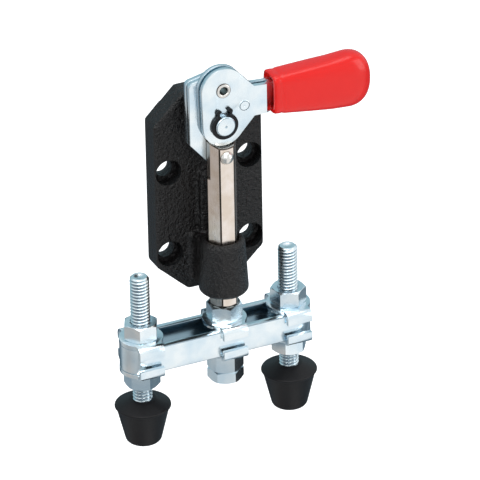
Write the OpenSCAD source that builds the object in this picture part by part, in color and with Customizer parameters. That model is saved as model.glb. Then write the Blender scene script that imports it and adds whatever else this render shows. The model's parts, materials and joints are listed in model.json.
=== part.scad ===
// Push-pull toggle clamp with a cast flange base, a hexagonal plunger and a
// T-bar that carries two rubber-footed spindles.
//
// Frame: +Z runs up along the plunger, the pads look down (-Z).
// The flange stands upright. Its back (mounting) face is the plane Y = 0,
// and the clamp lies in front of it (-Y). X runs to the handle's side.
// The origin is the middle of the four mounting holes, on the back face.
// The clamp is drawn open: handle to the right, plunger drawn in.

/* [Base casting] */
// Width of the flange
base_w = 46.8; // [40:0.1:60]
// Thickness of the flange
base_t = 9.7; // [7:0.1:12]
// Height of the flange's top edge above the hole centre
base_top = 52; // [48:0.5:60]
// Depth of the flange's bottom edge below the hole centre
base_bottom = 36; // [30:0.5:42]
// Height where the straight sides end at the top
side_top = 39.5; // [34:0.5:44]
// Depth where the straight sides end at the bottom
side_bottom = 23.5; // [20:0.5:28]
// Width of the flat top edge
top_w = 21; // [16:0.5:30]
// Width of the flat bottom edge
bottom_w = 20; // [16:0.5:30]
// Radius of the flange's outline corners
corner_r = 2.5; // [1:0.1:4]

/* [Mounting holes] */
// Distance of the hole axes from the flange's straight sides
hole_inset = 5.8; // [5.6:0.1:7]
// Hole spacing up and down
hole_dz = 36.5; // [30:0.1:42]
// Through hole diameter
hole_d = 7.1; // [5:0.1:8.5]
// Counterbore diameter
cbore_d = 11; // [9:0.1:12]
// Counterbore depth
cbore_depth = 4.9; // [2:0.1:6]

/* [Guide barrel] */
// Outside diameter of the barrel near its lower end
barrel_d = 20.2; // [19:0.1:24]
// How much narrower the barrel is near its upper end
barrel_taper = 2.4; // [1:0.1:3]
// Depth of the barrel's top face below the hole centre
barrel_drop = 9; // [9:0.5:12]
// Length of the barrel
barrel_len = 24; // [18:0.5:26]
// Distance of the plunger axis from the mounting face
standoff = 21.7; // [21.5:0.1:24]
// Height of the rounded guide pad behind the plunger
pad_top = 18; // [14:0.5:20]
// Width of the guide pad
pad_w = 10; // [8:0.5:12]
// Clearance between the guide pad and the plunger
pad_gap = 3.6; // [2:0.1:5]

/* [Plunger] */
// Size across the flats of the hexagonal bar
hex_af = 11.1; // [10:0.1:12]
// How far the plunger's foot reaches below the hole centre when drawn in
plunger_drop = 38.3; // [37:0.1:42]
// Height of the plunger's top horns
plunger_top = 35.2; // [34:0.1:36]
// How far the lap face lies behind the plunger axis
lap_offset = 2.1; // [1.8:0.1:2.4]
// Depth of the lap's shoulder below the lower rivet
lap_depth = 10; // [9:0.5:12]
// Play between the plunger and the barrel, per side
slide_gap = 0.05; // [0.02:0.01:0.1]

/* [Linkage] */
// Height of the handle's fixed pivot above the hole centre
pivot_z = 42.7; // [42:0.1:44]
// Distance from the fixed pivot to the crank rivet (half of the stroke)
crank_r = 15; // [13:0.5:15.5]
// Distance between the link's two rivets
link_len = 28.7; // [28:0.1:29.5]
// Thickness of one link plate
link_t = 2.5; // [1.8:0.1:2.6]
// Thickness of one handle plate
plate_t = 2.1; // [1.8:0.1:2.2]
// Open space between the two handle plates at the pivots
plate_space = 1.5; // [1:0.1:1.6]
// Gap left between neighbouring moving plates
plate_gap = 0.05; // [0.02:0.01:0.1]
// Diameter of the fixed pivot pin
pivot_d = 8.4; // [7:0.1:9]
// Outside diameter of the hollow crank rivet
crank_rivet_d = 6.2; // [5:0.1:7]
// Bore of the hollow crank rivet
crank_rivet_bore = 4.1; // [3:0.1:5]
// Diameter of the plunger rivet's shank
plunger_rivet_d = 4.8; // [4:0.1:6]
// Diameter of the stop rivet between the handle plates
stop_d = 4; // [3:0.1:4.2]
// Play round each pin and rivet, per side
pin_gap = 0.04; // [0.01:0.01:0.1]
// Swing of the handle from drawn in to pushed out, in degrees
swing = 180; // [180:1:180]

/* [Handle] */
// Hub radius of the handle plates round the fixed pivot
hub_r = 8.9; // [8:0.1:9.2]
// Lobe radius of the handle plates round the crank rivet
lobe_r = 9.3; // [8:0.1:10]
// Height of the neck's middle above the fixed pivot
neck_rise = 7.5; // [6:0.1:9]
// Height of the neck
neck_h = 12.6; // [10:0.1:14]
// Place along X where the front plate bends back to the rear one
bend_x = 18.6; // [17:0.1:18.7]
// Length of the bend along X
bend_len = 2.4; // [1.5:0.1:3]
// Place along X where the grip starts
grip_x = 21.2; // [21.1:0.1:24]
// Length of the grip
grip_len = 43.6; // [38:0.1:60]
// Height of the grip's middle above the fixed pivot
grip_rise = 8.2; // [7:0.1:9]
// Height of the grip where it starts
grip_h0 = 18; // [16:0.5:20]
// Height of the grip near its end
grip_h1 = 21.6; // [18:0.1:26]
// Thickness of the grip where it starts
grip_t0 = 12; // [9:0.5:13]
// Thickness of the grip near its end
grip_t1 = 13.2; // [9:0.1:14]

/* [T-bar] */
// Place along X of the left spindle
left_x = -36.6; // [-45:0.1:-32]
// Place along X of the right spindle
right_x = 28.2; // [24:0.1:40]
// Outside width of the bar loop
bar_w = 17.6; // [16:0.1:20]
// Height of the bar loop
bar_h = 11.2; // [9:0.1:14]
// Wall thickness of the bar loop
bar_wall = 2.9; // [2:0.1:3.2]

/* [Threaded parts] */
// Thread diameter of the spindles and the centre bolt
thread_d = 7.94; // [6:0.01:8]
// Size across the flats of nuts and bolt head
nut_af = 12.7; // [12:0.1:13]
// Height of a nut
nut_h = 6.75; // [5:0.05:7]
// Height of the bolt head
head_h = 6.3; // [4:0.1:7]
// Diameter of a flanged washer's disc
washer_d = 17.8; // [16:0.1:20]
// Thickness of a flanged washer
washer_t = 1.8; // [1.2:0.1:2.2]
// Space between a washer's folded flanges and the bar
flange_gap = 0.8; // [0.2:0.1:1]
// Width of a washer's folded flange
flange_w = 10.6; // [8:0.1:12]
// Reach of a washer's flange from its outer face
flange_reach = 4.9; // [3.5:0.1:5.2]
// Height of the left spindle's top, below the hole centre
left_top = 19.2; // [19:0.1:26]
// Height of the right spindle's top, below the hole centre
right_top = 20.2; // [19:0.1:26]
// Length of bare thread between the lower nut and the foot
bare_thread = 6.6; // [4:0.1:14]

/* [Rubber feet] */
// Diameter of a foot's rim
foot_d = 22.8; // [20:0.1:26]
// Diameter of a foot's pad face
pad_d = 14.6; // [12:0.1:18]
// Height of a foot from the pad face to the rim
foot_h = 16.9; // [12:0.1:20]
// Height of the foot's cone above the rim
foot_rise = 2.6; // [1:0.1:4]

/* [Hidden] */
$fn = 64;
eps = 0.01;
axis_y = -standoff;
hole_dx = base_w - 2 * hole_inset;
hex_ac = hex_af / cos(30);
nut_ac = nut_af / cos(30);
stroke = 2 * crank_r;
// rivet places, all on the plunger axis when the clamp is drawn in
crank_z = pivot_z + crank_r;
low_z = crank_z - link_len;
shoulder_z = low_z - lap_depth;
// layers from the front to the back: front handle plate, space, rear
// handle plate, two link plates, boss of the casting
lap_y = axis_y + lap_offset;
far_y = lap_y - plate_t;
near_y = far_y - plate_space - plate_t;
link_a_y = lap_y + plate_gap;
link_b_y = link_a_y + link_t + plate_gap;
link_end_y = link_b_y + link_t;
boss_y = link_end_y + plate_gap;
// stop rivet, seen from the fixed pivot
stop_x = 8.9;
stop_z = pivot_z + 6.6;
// retaining clip on the pivot pin
clip_t = 1;
clip_y = near_y - plate_gap - clip_t;
pin_end_y = clip_y - 0.9;
groove_d = pivot_d - 0.8;
// heights of the stack on the plunger's foot, from the top down
nut1_z = -plunger_drop - nut_h;
bar_top = nut1_z - washer_t;
bar_bottom = bar_top - bar_h;
nut2_top = bar_bottom - washer_t;
nut2_z = nut2_top - nut_h;
foot_top = nut2_z - bare_thread;
foot_rim = foot_top - foot_rise;
foot_z = foot_rim - foot_h;
stud_end = foot_rim - foot_h / 2;
nut_gap = 0.03;
tang_end = grip_x + 0.76 * grip_len;
grip_z = pivot_z + grip_rise;

zinc = [0.80, 0.84, 0.88];
nickel = [0.78, 0.74, 0.66];
black = [0.09, 0.09, 0.09];

// Name of the single piece to draw, or all of them

// shared shapes

// A round bar along Y, from y0 (front) to y1 (back).
module bar_y(d, x, z, y0, y1) {
    translate([x, y1, z])
        rotate([90, 0, 0])
            cylinder(d = d, h = y1 - y0);
}

// A flat outline drawn in X and Z, given thickness along Y from y0 to y0 + t.
module plate_y(y0, t) {
    translate([0, y0 + t, 0])
        rotate([90, 0, 0])
            linear_extrude(height = t)
                children();
}

// A hexagonal nut with a plain bore, its lower face at z.
module nut_at(x, z, turn) {
    translate([x, axis_y, z])
        difference() {
            rotate([0, 0, turn])
                cylinder(d = nut_ac, h = nut_h, $fn = 6);
            translate([0, 0, -1])
                cylinder(d = thread_d + 2 * nut_gap, h = nut_h + 2);
        }
}

// Side outline of a folded washer flange, for the side where Y is positive.
// The bar lies below it and the disc is on top, with its upper face at 0.
module flange_profile() {
    bend_in = flange_gap;
    bend_out = flange_gap + washer_t;
    difference() {
        union() {
            square([bar_w / 2 + eps, washer_t]);
            intersection() {
                translate([bar_w / 2, bend_out])
                    circle(r = bend_out);
                translate([bar_w / 2, 0])
                    square([bend_out, bend_out]);
            }
            translate([bar_w / 2 + bend_in, bend_out - eps])
                square([washer_t, flange_reach - bend_out]);
        }
        translate([bar_w / 2, bend_out])
            circle(r = bend_in);
    }
}

// A washer with two flanges folded over the bar. up = 1 lies on the bar.
module flanged_washer(x, up) {
    outer_z = up > 0 ? bar_top + washer_t : bar_bottom - washer_t;
    hole = thread_d + 0.4;
    translate([x, axis_y, outer_z])
        rotate([up > 0 ? 180 : 0, 0, 0])
            difference() {
                union() {
                    cylinder(d = washer_d, h = washer_t);
                    for (side = [0, 180])
                        rotate([0, 0, side])
                            translate([-flange_w / 2, 0, 0])
                                rotate([90, 0, 90])
                                    linear_extrude(height = flange_w)
                                        flange_profile();
                }
                translate([0, 0, -washer_t])
                    cylinder(d = hole, h = 3 * washer_t);
            }
}

// A spindle from its top down into the foot, with a bevelled top edge.
module spindle(x, top) {
    bevel = thread_d / 10;
    translate([x, axis_y, stud_end])
        cylinder(d = thread_d, h = -top - bevel - stud_end);
    translate([x, axis_y, -top - bevel])
        cylinder(d1 = thread_d, d2 = thread_d - 2 * bevel, h = bevel);
}

// A tapered rubber foot moulded round the spindle's end, as a turned profile.
module foot(x) {
    band = foot_h / 24;
    edge = foot_h / 14;
    neck_d = thread_d * 1.35;
    translate([x, axis_y, 0])
        rotate_extrude()
            polygon([[0, foot_z], [pad_d / 2 - 0.75 * edge, foot_z],
                     [pad_d / 2, foot_z + edge], [foot_d / 2, foot_rim - band],
                     [foot_d / 2, foot_rim], [foot_d / 2 - band, foot_rim],
                     [neck_d / 2, foot_top], [thread_d / 2, foot_top],
                     [thread_d / 2, stud_end], [0, stud_end]]);
}

// sub-parts

module base_outline() {
    offset(r = corner_r)
        offset(delta = -corner_r)
            polygon([[-bottom_w / 2, -base_bottom], [bottom_w / 2, -base_bottom],
                     [base_w / 2, -side_bottom], [base_w / 2, side_top],
                     [top_w / 2, base_top], [-top_w / 2, base_top],
                     [-base_w / 2, side_top], [-base_w / 2, -side_bottom]]);
}

module base_casting() {
    barrel_z = -barrel_drop - barrel_len;
    edge = 1.5;
    top_d = barrel_d - barrel_taper;
    web_w = top_d - 1.2;
    pad_y = axis_y + hex_af / 2 + pad_gap;
    color(black)
        difference() {
            union() {
                plate_y(-base_t, base_t)
                    base_outline();
                // pivot boss
                bar_y(2 * hub_r, 0, pivot_z, boss_y, -base_t + eps);
                // guide pad behind the plunger
                plate_y(pad_y, -base_t + eps - pad_y)
                    union() {
                        translate([-pad_w / 2, -barrel_drop - 2])
                            square([pad_w, pad_top - pad_w / 2 + barrel_drop + 2]);
                        translate([0, pad_top - pad_w / 2])
                            circle(d = pad_w);
                    }
                // tapered barrel with bevelled ends
                translate([0, axis_y, barrel_z + edge])
                    cylinder(d1 = barrel_d, d2 = top_d, h = barrel_len - 2 * edge);
                translate([0, axis_y, barrel_z])
                    cylinder(d1 = barrel_d - 2 * edge, d2 = barrel_d, h = edge);
                translate([0, axis_y, barrel_z + barrel_len - edge])
                    cylinder(d1 = top_d, d2 = top_d - 2 * edge, h = edge);
                // web that joins the barrel to the flange, wider at its root
                translate([0, 0, barrel_z + edge])
                    linear_extrude(height = barrel_len - 2 * edge)
                        polygon([[-web_w / 2, axis_y], [web_w / 2, axis_y],
                                 [web_w / 2, -base_t - edge], [web_w / 2 + edge, -base_t + eps],
                                 [-web_w / 2 - edge, -base_t + eps], [-web_w / 2, -base_t - edge]]);
            }
            // round guide bore, which bears on the plunger's six corners
            translate([0, axis_y, barrel_z - 1])
                cylinder(d = hex_ac + 2 * slide_gap, h = barrel_len + 2);
            // mounting holes with counterbores from the front
            for (sx = [-1, 1])
                for (sz = [-1, 1]) {
                    bar_y(hole_d, sx * hole_dx / 2, sz * hole_dz / 2, -base_t - 1, 1);
                    bar_y(cbore_d, sx * hole_dx / 2, sz * hole_dz / 2,
                          -base_t - 1, -base_t + cbore_depth);
                }
            // seat of the pivot pin
            bar_y(pivot_d, 0, pivot_z, boss_y - 1, -1.5);
        }
}

module pivot_pin() {
    color(zinc) {
        bar_y(pivot_d, 0, pivot_z, near_y - plate_gap, -1.5);
        bar_y(groove_d, 0, pivot_z, clip_y - 0.1, near_y - plate_gap);
        bar_y(pivot_d, 0, pivot_z, pin_end_y + 0.4, clip_y - 0.1);
        translate([0, pin_end_y + 0.4, pivot_z])
            rotate([90, 0, 0])
                cylinder(d1 = pivot_d, d2 = pivot_d - 0.8, h = 0.4);
    }
}

module retaining_clip() {
    ring_d = pivot_d + 2.9;
    ear_x = 2.3;
    ear_z = 6.1;
    color([0.06, 0.06, 0.06])
        plate_y(clip_y, clip_t)
            translate([0, pivot_z])
                difference() {
                    union() {
                        difference() {
                            translate([0, -0.15])
                                circle(d = ring_d);
                            translate([-ear_x + 0.5, 0])
                                square([2 * ear_x - 1, ring_d]);
                        }
                        for (side = [-1, 1]) {
                            translate([side * ear_x, ear_z])
                                circle(d = 2.2);
                            translate([side * ear_x - 1, 3.6])
                                square([2, ear_z - 3.6]);
                        }
                    }
                    circle(d = groove_d);
                }
}

// Side outline of a handle plate without its neck's end.
module handle_outline() {
    neck_z = pivot_z + neck_rise;
    union() {
        translate([0, pivot_z])
            circle(r = hub_r);
        translate([0, crank_z])
            circle(r = lobe_r);
        polygon([[-hub_r, pivot_z], [hub_r * cos(47), pivot_z - hub_r * sin(47)],
                 [13.2, neck_z - neck_h / 2], [bend_x, neck_z - neck_h / 2],
                 [bend_x, neck_z + neck_h / 2], [13.2, neck_z + neck_h / 2 + 0.4],
                 [lobe_r * cos(50), crank_z + lobe_r * sin(50)],
                 [-lobe_r, crank_z]]);
    }
}

// One handle plate. back is how far its tang lies behind its flat part.
module handle_plate(y0, back) {
    neck_z = pivot_z + neck_rise;
    tang_y = y0 + back;
    difference() {
        union() {
            plate_y(y0, plate_t)
                handle_outline();
            translate([0, 0, neck_z - neck_h / 2])
                linear_extrude(height = neck_h)
                    polygon([[bend_x - eps, y0], [bend_x + bend_len, tang_y],
                             [tang_end, tang_y], [tang_end, tang_y + plate_t],
                             [bend_x + bend_len, tang_y + plate_t],
                             [bend_x - eps, y0 + plate_t]]);
        }
        bar_y(pivot_d + 2 * pin_gap, 0, pivot_z, y0 - 1, y0 + plate_t + 1);
        bar_y(crank_rivet_d, 0, crank_z, y0 - 1, y0 + plate_t + 1);
        bar_y(stop_d, stop_x, stop_z, y0 - 1, y0 + plate_t + 1);
    }
}

module handle_plate_front() {
    color(zinc)
        handle_plate(near_y, plate_space);
}

module handle_plate_rear() {
    color(zinc)
        handle_plate(far_y, 0);
}

module crank_rivet() {
    rim = 0.35;
    color(nickel)
        difference() {
            union() {
                bar_y(crank_rivet_d, 0, crank_z, near_y - rim, link_end_y + plate_gap + rim);
                bar_y(crank_rivet_d + 2 * rim, 0, crank_z, near_y - rim, near_y);
                bar_y(crank_rivet_d + 2 * rim, 0, crank_z,
                      link_end_y + plate_gap, link_end_y + plate_gap + rim);
            }
            bar_y(crank_rivet_bore, 0, crank_z, near_y - 1, link_end_y + 1);
        }
}

// The stop rivet spans the two plates. Its rear end is flush, clear of the link.
module stop_rivet() {
    head = 0.15;
    color(zinc) {
        bar_y(stop_d, stop_x, stop_z, near_y - head, far_y + plate_t);
        bar_y(stop_d + 0.5, stop_x, stop_z, near_y - head, near_y);
    }
}

// The four corner rounds of the grip's section at one place along X.
module grip_slab(x, h, t, r) {
    for (sy = [-1, 1])
        for (sz = [-1, 1])
            translate([x, far_y + sy * (t / 2 - r), grip_z + sz * (h / 2 - r)])
                rotate([0, 90, 0])
                    cylinder(r = r, h = grip_len / 100, $fn = 24);
}

module grip() {
    tang_h = neck_h;
    color([0.83, 0.08, 0.07])
        difference() {
            hull() {
                grip_slab(grip_x, grip_h0, grip_t0, grip_t0 * 0.34);
                grip_slab(grip_x + grip_len * 0.40, grip_h1 * 0.97, grip_t1 * 0.96, grip_t1 * 0.38);
                grip_slab(grip_x + grip_len * 0.74, grip_h1, grip_t1, grip_t1 * 0.40);
                grip_slab(grip_x + grip_len * 0.88, grip_h1 * 0.91, grip_t1 * 0.88, grip_t1 * 0.37);
                grip_slab(grip_x + grip_len * 0.96, grip_h1 * 0.70, grip_t1 * 0.64, grip_t1 * 0.29);
                grip_slab(grip_x + grip_len * 0.99, grip_h1 * 0.46, grip_t1 * 0.36, grip_t1 * 0.16);
            }
            translate([grip_x - plate_t, far_y - plate_t, pivot_z + neck_rise - tang_h / 2])
                cube([tang_end - grip_x + plate_t + pin_gap, 2 * plate_t, tang_h]);
        }
}

// Outline of a link plate: two rivet ends joined by a bow to the left,
// open to the right so that it passes the fixed pivot pin.
module link_outline() {
    bow_x = -12.3;
    inner_x = -pivot_d / 2 - 1;
    end_r = 6.4;
    top_r = 6.3;
    difference() {
        union() {
            hull() {
                translate([0, crank_z])
                    circle(r = top_r);
                translate([bow_x + 2.2, crank_z + 2.4])
                    circle(r = 2.2);
                translate([bow_x, crank_z - 7])
                    square([10, 1]);
            }
            translate([bow_x, low_z + 6])
                square([inner_x - bow_x, crank_z - low_z - 8]);
            hull() {
                translate([0, low_z])
                    circle(r = end_r);
                translate([bow_x, low_z + 4.6])
                    square([8, 4]);
            }
        }
        translate([0, pivot_z])
            circle(r = -inner_x);
        translate([0, pivot_z + inner_x])
            square([12, -2 * inner_x]);
    }
}

module link_plate(y0) {
    difference() {
        plate_y(y0, link_t)
            link_outline();
        bar_y(crank_rivet_d + 2 * pin_gap, 0, crank_z, y0 - 1, y0 + link_t + 1);
        bar_y(plunger_rivet_d + 2 * pin_gap, 0, low_z, y0 - 1, y0 + link_t + 1);
    }
}

module link_plate_front() {
    color(zinc)
        link_plate(link_a_y);
}

module link_plate_rear() {
    color(zinc)
        link_plate(link_b_y);
}

module plunger() {
    bevel = 1.1;
    color(nickel)
        difference() {
            intersection() {
                translate([0, axis_y, -plunger_drop])
                    cylinder(d = hex_ac, h = plunger_drop + plunger_top, $fn = 6);
                // bevelled lower end
                union() {
                    translate([0, axis_y, -plunger_drop])
                        cylinder(d1 = hex_ac - 2 * bevel, d2 = hex_ac + 0.4, h = bevel);
                    translate([0, axis_y, -plunger_drop + bevel - eps])
                        cylinder(d = hex_ac + 0.4, h = plunger_drop + plunger_top);
                }
            }
            // lap that takes the link plates
            translate([-hex_af, lap_y, shoulder_z])
                cube([2 * hex_af, hex_af, 4 * lap_depth]);
            // the left corner is milled off above the shoulder
            translate([-hex_af, axis_y - hex_af, shoulder_z])
                cube([hex_af - hex_ac / 2 + 0.9, 2 * hex_af, 4 * lap_depth]);
            // hollow that clears the handle's hub
            bar_y(2 * hub_r + 1.4, 0, pivot_z, axis_y - 10, axis_y + 10);
            bar_y(plunger_rivet_d, 0, low_z, axis_y - 10, axis_y + 10);
            // tapped hole for the centre bolt
            translate([0, axis_y, -plunger_drop - 1])
                cylinder(d = thread_d + 2 * nut_gap, h = 23);
        }
}

// The rivet's head and shank in the plunger. It ends at the lap face.
module plunger_rivet() {
    head_d = 6.6;
    front_y = axis_y - hex_af / 2;
    color(nickel) {
        bar_y(plunger_rivet_d, 0, low_z, front_y, lap_y);
        translate([0, front_y, low_z])
            rotate([90, 0, 0])
                rotate_extrude()
                    intersection() {
                        translate([0, -1.4])
                            circle(r = 3.58);
                        square([head_d / 2, 3]);
                    }
    }
}

module centre_bolt() {
    color(zinc)
        translate([0, axis_y, 0]) {
            translate([0, 0, nut2_z - 1])
                cylinder(d = thread_d, h = -nut2_z - plunger_drop + 21);
            translate([0, 0, nut2_z - head_h])
                rotate([0, 0, 36])
                    cylinder(d = nut_ac, h = head_h, $fn = 6);
        }
}

// The flat strip bent into a long loop with round ends.
module bar_loop() {
    r = bar_w / 2;
    color(zinc)
        translate([0, axis_y, bar_bottom])
            difference() {
                union() {
                    translate([left_x, 0, 0])
                        cylinder(r = r, h = bar_h);
                    translate([right_x, 0, 0])
                        cylinder(r = r, h = bar_h);
                    translate([left_x, -r, 0])
                        cube([right_x - left_x, bar_w, bar_h]);
                }
                translate([left_x, 0, -1])
                    cylinder(r = r - bar_wall, h = bar_h + 2);
                translate([right_x, 0, -1])
                    cylinder(r = r - bar_wall, h = bar_h + 2);
                translate([left_x, -r + bar_wall, -1])
                    cube([right_x - left_x, bar_w - 2 * bar_wall, bar_h + 2]);
            }
}

module washer_upper_left() {
    color(zinc)
        flanged_washer(left_x, 1);
}

module washer_upper_centre() {
    color(zinc)
        flanged_washer(0, 1);
}

module washer_upper_right() {
    color(zinc)
        flanged_washer(right_x, 1);
}

module washer_lower_left() {
    color(zinc)
        flanged_washer(left_x, -1);
}

module washer_lower_centre() {
    color(zinc)
        flanged_washer(0, -1);
}

module washer_lower_right() {
    color(zinc)
        flanged_washer(right_x, -1);
}

module nut_upper_left() {
    color(zinc)
        nut_at(left_x, nut1_z, 4);
}

module nut_upper_centre() {
    color(zinc)
        nut_at(0, nut1_z, 23);
}

module nut_upper_right() {
    color(zinc)
        nut_at(right_x, nut1_z, 45);
}

module nut_lower_left() {
    color(zinc)
        nut_at(left_x, nut2_z, 5);
}

module nut_lower_centre() {
    color(zinc)
        nut_at(0, nut2_z, 35);
}

module nut_lower_right() {
    color(zinc)
        nut_at(right_x, nut2_z, 29);
}

module spindle_left() {
    color(zinc)
        spindle(left_x, left_top);
}

module spindle_right() {
    color(zinc)
        spindle(right_x, right_top);
}

module foot_left() {
    color(black)
        foot(left_x);
}

module foot_right() {
    color(black)
        foot(right_x);
}

base_casting();
pivot_pin();
retaining_clip();
handle_plate_front();
handle_plate_rear();
crank_rivet();
stop_rivet();
grip();
link_plate_front();
link_plate_rear();
plunger();
plunger_rivet();
centre_bolt();
bar_loop();
washer_upper_left();
washer_upper_centre();
washer_upper_right();
washer_lower_left();
washer_lower_centre();
washer_lower_right();
nut_upper_left();
nut_upper_centre();
nut_upper_right();
nut_lower_left();
nut_lower_centre();
nut_lower_right();
spindle_left();
spindle_right();
foot_left();
foot_right();
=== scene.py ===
# %% [markdown]
# # A push-pull toggle clamp, from its CAD frame to a finished picture
#
# The real clamp is a black sand-cast base that carries a bright plated
# linkage, a drawn steel plunger and a T-bar with two rubber-footed
# spindles. The CAD model already has every piece in its place. This
# script loads it as a fixed frame, gives each piece the edges and the
# finish that the real one has, and adds what the solids leave plain:
# screw threads, bevelled nuts, rolled rivet rims, a cast skin, a dipped
# vinyl grip and moulded rubber feet.

# %% Load the frame
import json
import math

import bmesh
import bpy
import numpy as np
from mathutils import Matrix, Vector


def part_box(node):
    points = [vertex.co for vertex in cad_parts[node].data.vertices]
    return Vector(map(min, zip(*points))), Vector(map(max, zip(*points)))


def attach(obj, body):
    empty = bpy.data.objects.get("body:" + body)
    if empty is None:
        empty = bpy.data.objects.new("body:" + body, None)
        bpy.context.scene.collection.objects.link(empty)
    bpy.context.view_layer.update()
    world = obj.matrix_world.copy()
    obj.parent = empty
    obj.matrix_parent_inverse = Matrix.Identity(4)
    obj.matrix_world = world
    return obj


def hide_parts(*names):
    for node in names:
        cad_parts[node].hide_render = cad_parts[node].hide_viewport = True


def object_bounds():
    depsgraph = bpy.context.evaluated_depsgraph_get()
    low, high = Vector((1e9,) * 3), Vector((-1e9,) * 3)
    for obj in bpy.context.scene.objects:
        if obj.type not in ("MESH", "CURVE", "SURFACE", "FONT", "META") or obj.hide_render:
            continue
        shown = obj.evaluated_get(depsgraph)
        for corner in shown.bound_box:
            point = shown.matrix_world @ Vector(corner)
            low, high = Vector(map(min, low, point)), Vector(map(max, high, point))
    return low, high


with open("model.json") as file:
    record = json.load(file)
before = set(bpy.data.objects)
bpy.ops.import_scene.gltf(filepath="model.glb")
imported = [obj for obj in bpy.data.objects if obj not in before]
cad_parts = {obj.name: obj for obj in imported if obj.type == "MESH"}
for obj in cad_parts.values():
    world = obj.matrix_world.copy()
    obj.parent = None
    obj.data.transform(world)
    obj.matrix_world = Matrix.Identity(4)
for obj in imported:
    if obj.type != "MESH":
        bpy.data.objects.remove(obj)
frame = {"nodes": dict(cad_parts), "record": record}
START_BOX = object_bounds()
MM = 0.001
print("nodes in the frame:", len(frame["nodes"]))

# %% [markdown]
# ## Camera
#
# The photograph was taken from the object's front left and above, with a
# long lens: upright edges hardly lean together. The camera is described
# by its direction, its distance, its roll and the point that it aims at,
# so that each value can be read as a real one.

# %% Place the camera
VIEW_LEFT = math.radians(24.26)
VIEW_UP = math.radians(28.5)
VIEW_ROLL = math.radians(1.08)
VIEW_DISTANCE = 2200 * MM
AIM_RIGHT = 16.08 * MM
AIM_UP = -18.39 * MM
PIXELS = 480
FOCAL_PIXELS = 5500
SENSOR = 36.0


def camera_axes(left, up, roll):
    """The camera's right, up and back directions in the row frame."""
    back = Vector((-math.sin(left) * math.cos(up),
                   -math.cos(left) * math.cos(up), math.sin(up)))
    right = Vector((math.cos(left), -math.sin(left), 0))
    above = back.cross(right)
    turned_right = right * math.cos(roll) - above * math.sin(roll)
    turned_up = right * math.sin(roll) + above * math.cos(roll)
    return turned_right, turned_up, back


cam_right, cam_up, cam_back = camera_axes(VIEW_LEFT, VIEW_UP, VIEW_ROLL)
camera_data = bpy.data.cameras.new("camera")
camera_data.sensor_width = SENSOR
camera_data.lens = FOCAL_PIXELS / PIXELS * SENSOR
camera_data.clip_end = 20
camera = bpy.data.objects.new("camera", camera_data)
bpy.context.collection.objects.link(camera)
aim = cam_right * AIM_RIGHT + cam_up * AIM_UP
turn = Matrix((cam_right, cam_up, cam_back)).transposed().to_4x4()
camera.matrix_world = Matrix.Translation(aim + cam_back * VIEW_DISTANCE) @ turn
bpy.context.scene.camera = camera
print("lens of", round(camera_data.lens), "mm")

# %% [markdown]
# ## Small helpers
#
# Colours are written as the sRGB hex values that a designer would pick,
# and one function turns them linear. One function adds a shader node
# with its settings and links. Patterns are sized in real millimetres:
# object coordinates are metres here, so a grain of 1 mm has a scale of
# 1000.

# %% Colour and node helpers


def linear(hex_colour):
    """An sRGB hex colour as linear RGBA."""
    channels = [int(hex_colour[i:i + 2], 16) / 255 for i in (1, 3, 5)]
    return [c / 12.92 if c <= 0.04045 else ((c + 0.055) / 1.055) ** 2.4
            for c in channels] + [1.0]


def per_mm(size):
    """The scale of a pattern whose grain is that many millimetres wide."""
    return 1 / (size * MM)


def add(tree, kind, settings=(), links=()):
    """A shader node of that kind with its settings, fed by the given links."""
    made = tree.nodes.new(kind)
    for key, value in dict(settings).items():
        if isinstance(key, int) or key in made.inputs:
            made.inputs[key].default_value = value
        else:
            setattr(made, key, value)
    for key, source in dict(links).items():
        tree.links.new(source, made.inputs[key])
    return made


def groove_painted_shade(tree, light, dark):
    """A colour that turns dark, as painted shade, where the mesh says that it is a groove."""
    groove = add(tree, "ShaderNodeAttribute", {"attribute_name": "groove"}).outputs["Fac"]
    tint = add(tree, "ShaderNodeValToRGB", links={"Fac": groove})
    tint.color_ramp.elements[0].position = 0.25
    tint.color_ramp.elements[0].color = linear(light)
    tint.color_ramp.elements[1].position = 0.95
    tint.color_ramp.elements[1].color = linear(dark)
    return tint.outputs["Color"]


def new_material(name, colour, metallic, roughness):
    """A material with its shader, and the object coordinates for patterns."""
    made = bpy.data.materials.new(name)
    made.use_nodes = True
    tree = made.node_tree
    shader = tree.nodes["Principled BSDF"]
    shader.inputs["Base Color"].default_value = linear(colour)
    shader.inputs["Metallic"].default_value = metallic
    shader.inputs["Roughness"].default_value = roughness
    place = add(tree, "ShaderNodeTexCoord").outputs["Object"]
    return made, tree, shader, place


def spread(tree, value, low, high):
    """A pattern value from 0 to 1, brought between low and high."""
    return add(tree, "ShaderNodeMapRange", {"To Min": low, "To Max": high},
               {"Value": value}).outputs["Result"]


def stretched(tree, place, factors):
    """Coordinates scaled along each axis, for grain that runs one way."""
    return add(tree, "ShaderNodeMapping", {"Scale": factors}, {"Vector": place}).outputs["Vector"]


print("white is", [round(c, 3) for c in linear("#ffffff")])

# %% [markdown]
# ## Bright zinc plate
#
# The handle, the links, the T-bar, the washers, nuts and spindles are
# mild steel with a clear blue-white zinc plate. It is a bright metal
# with a faint blue cast that drifts over the sheet, and with fine
# rolling marks that blur its reflections unevenly.

# %% Zinc-plated steel


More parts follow.
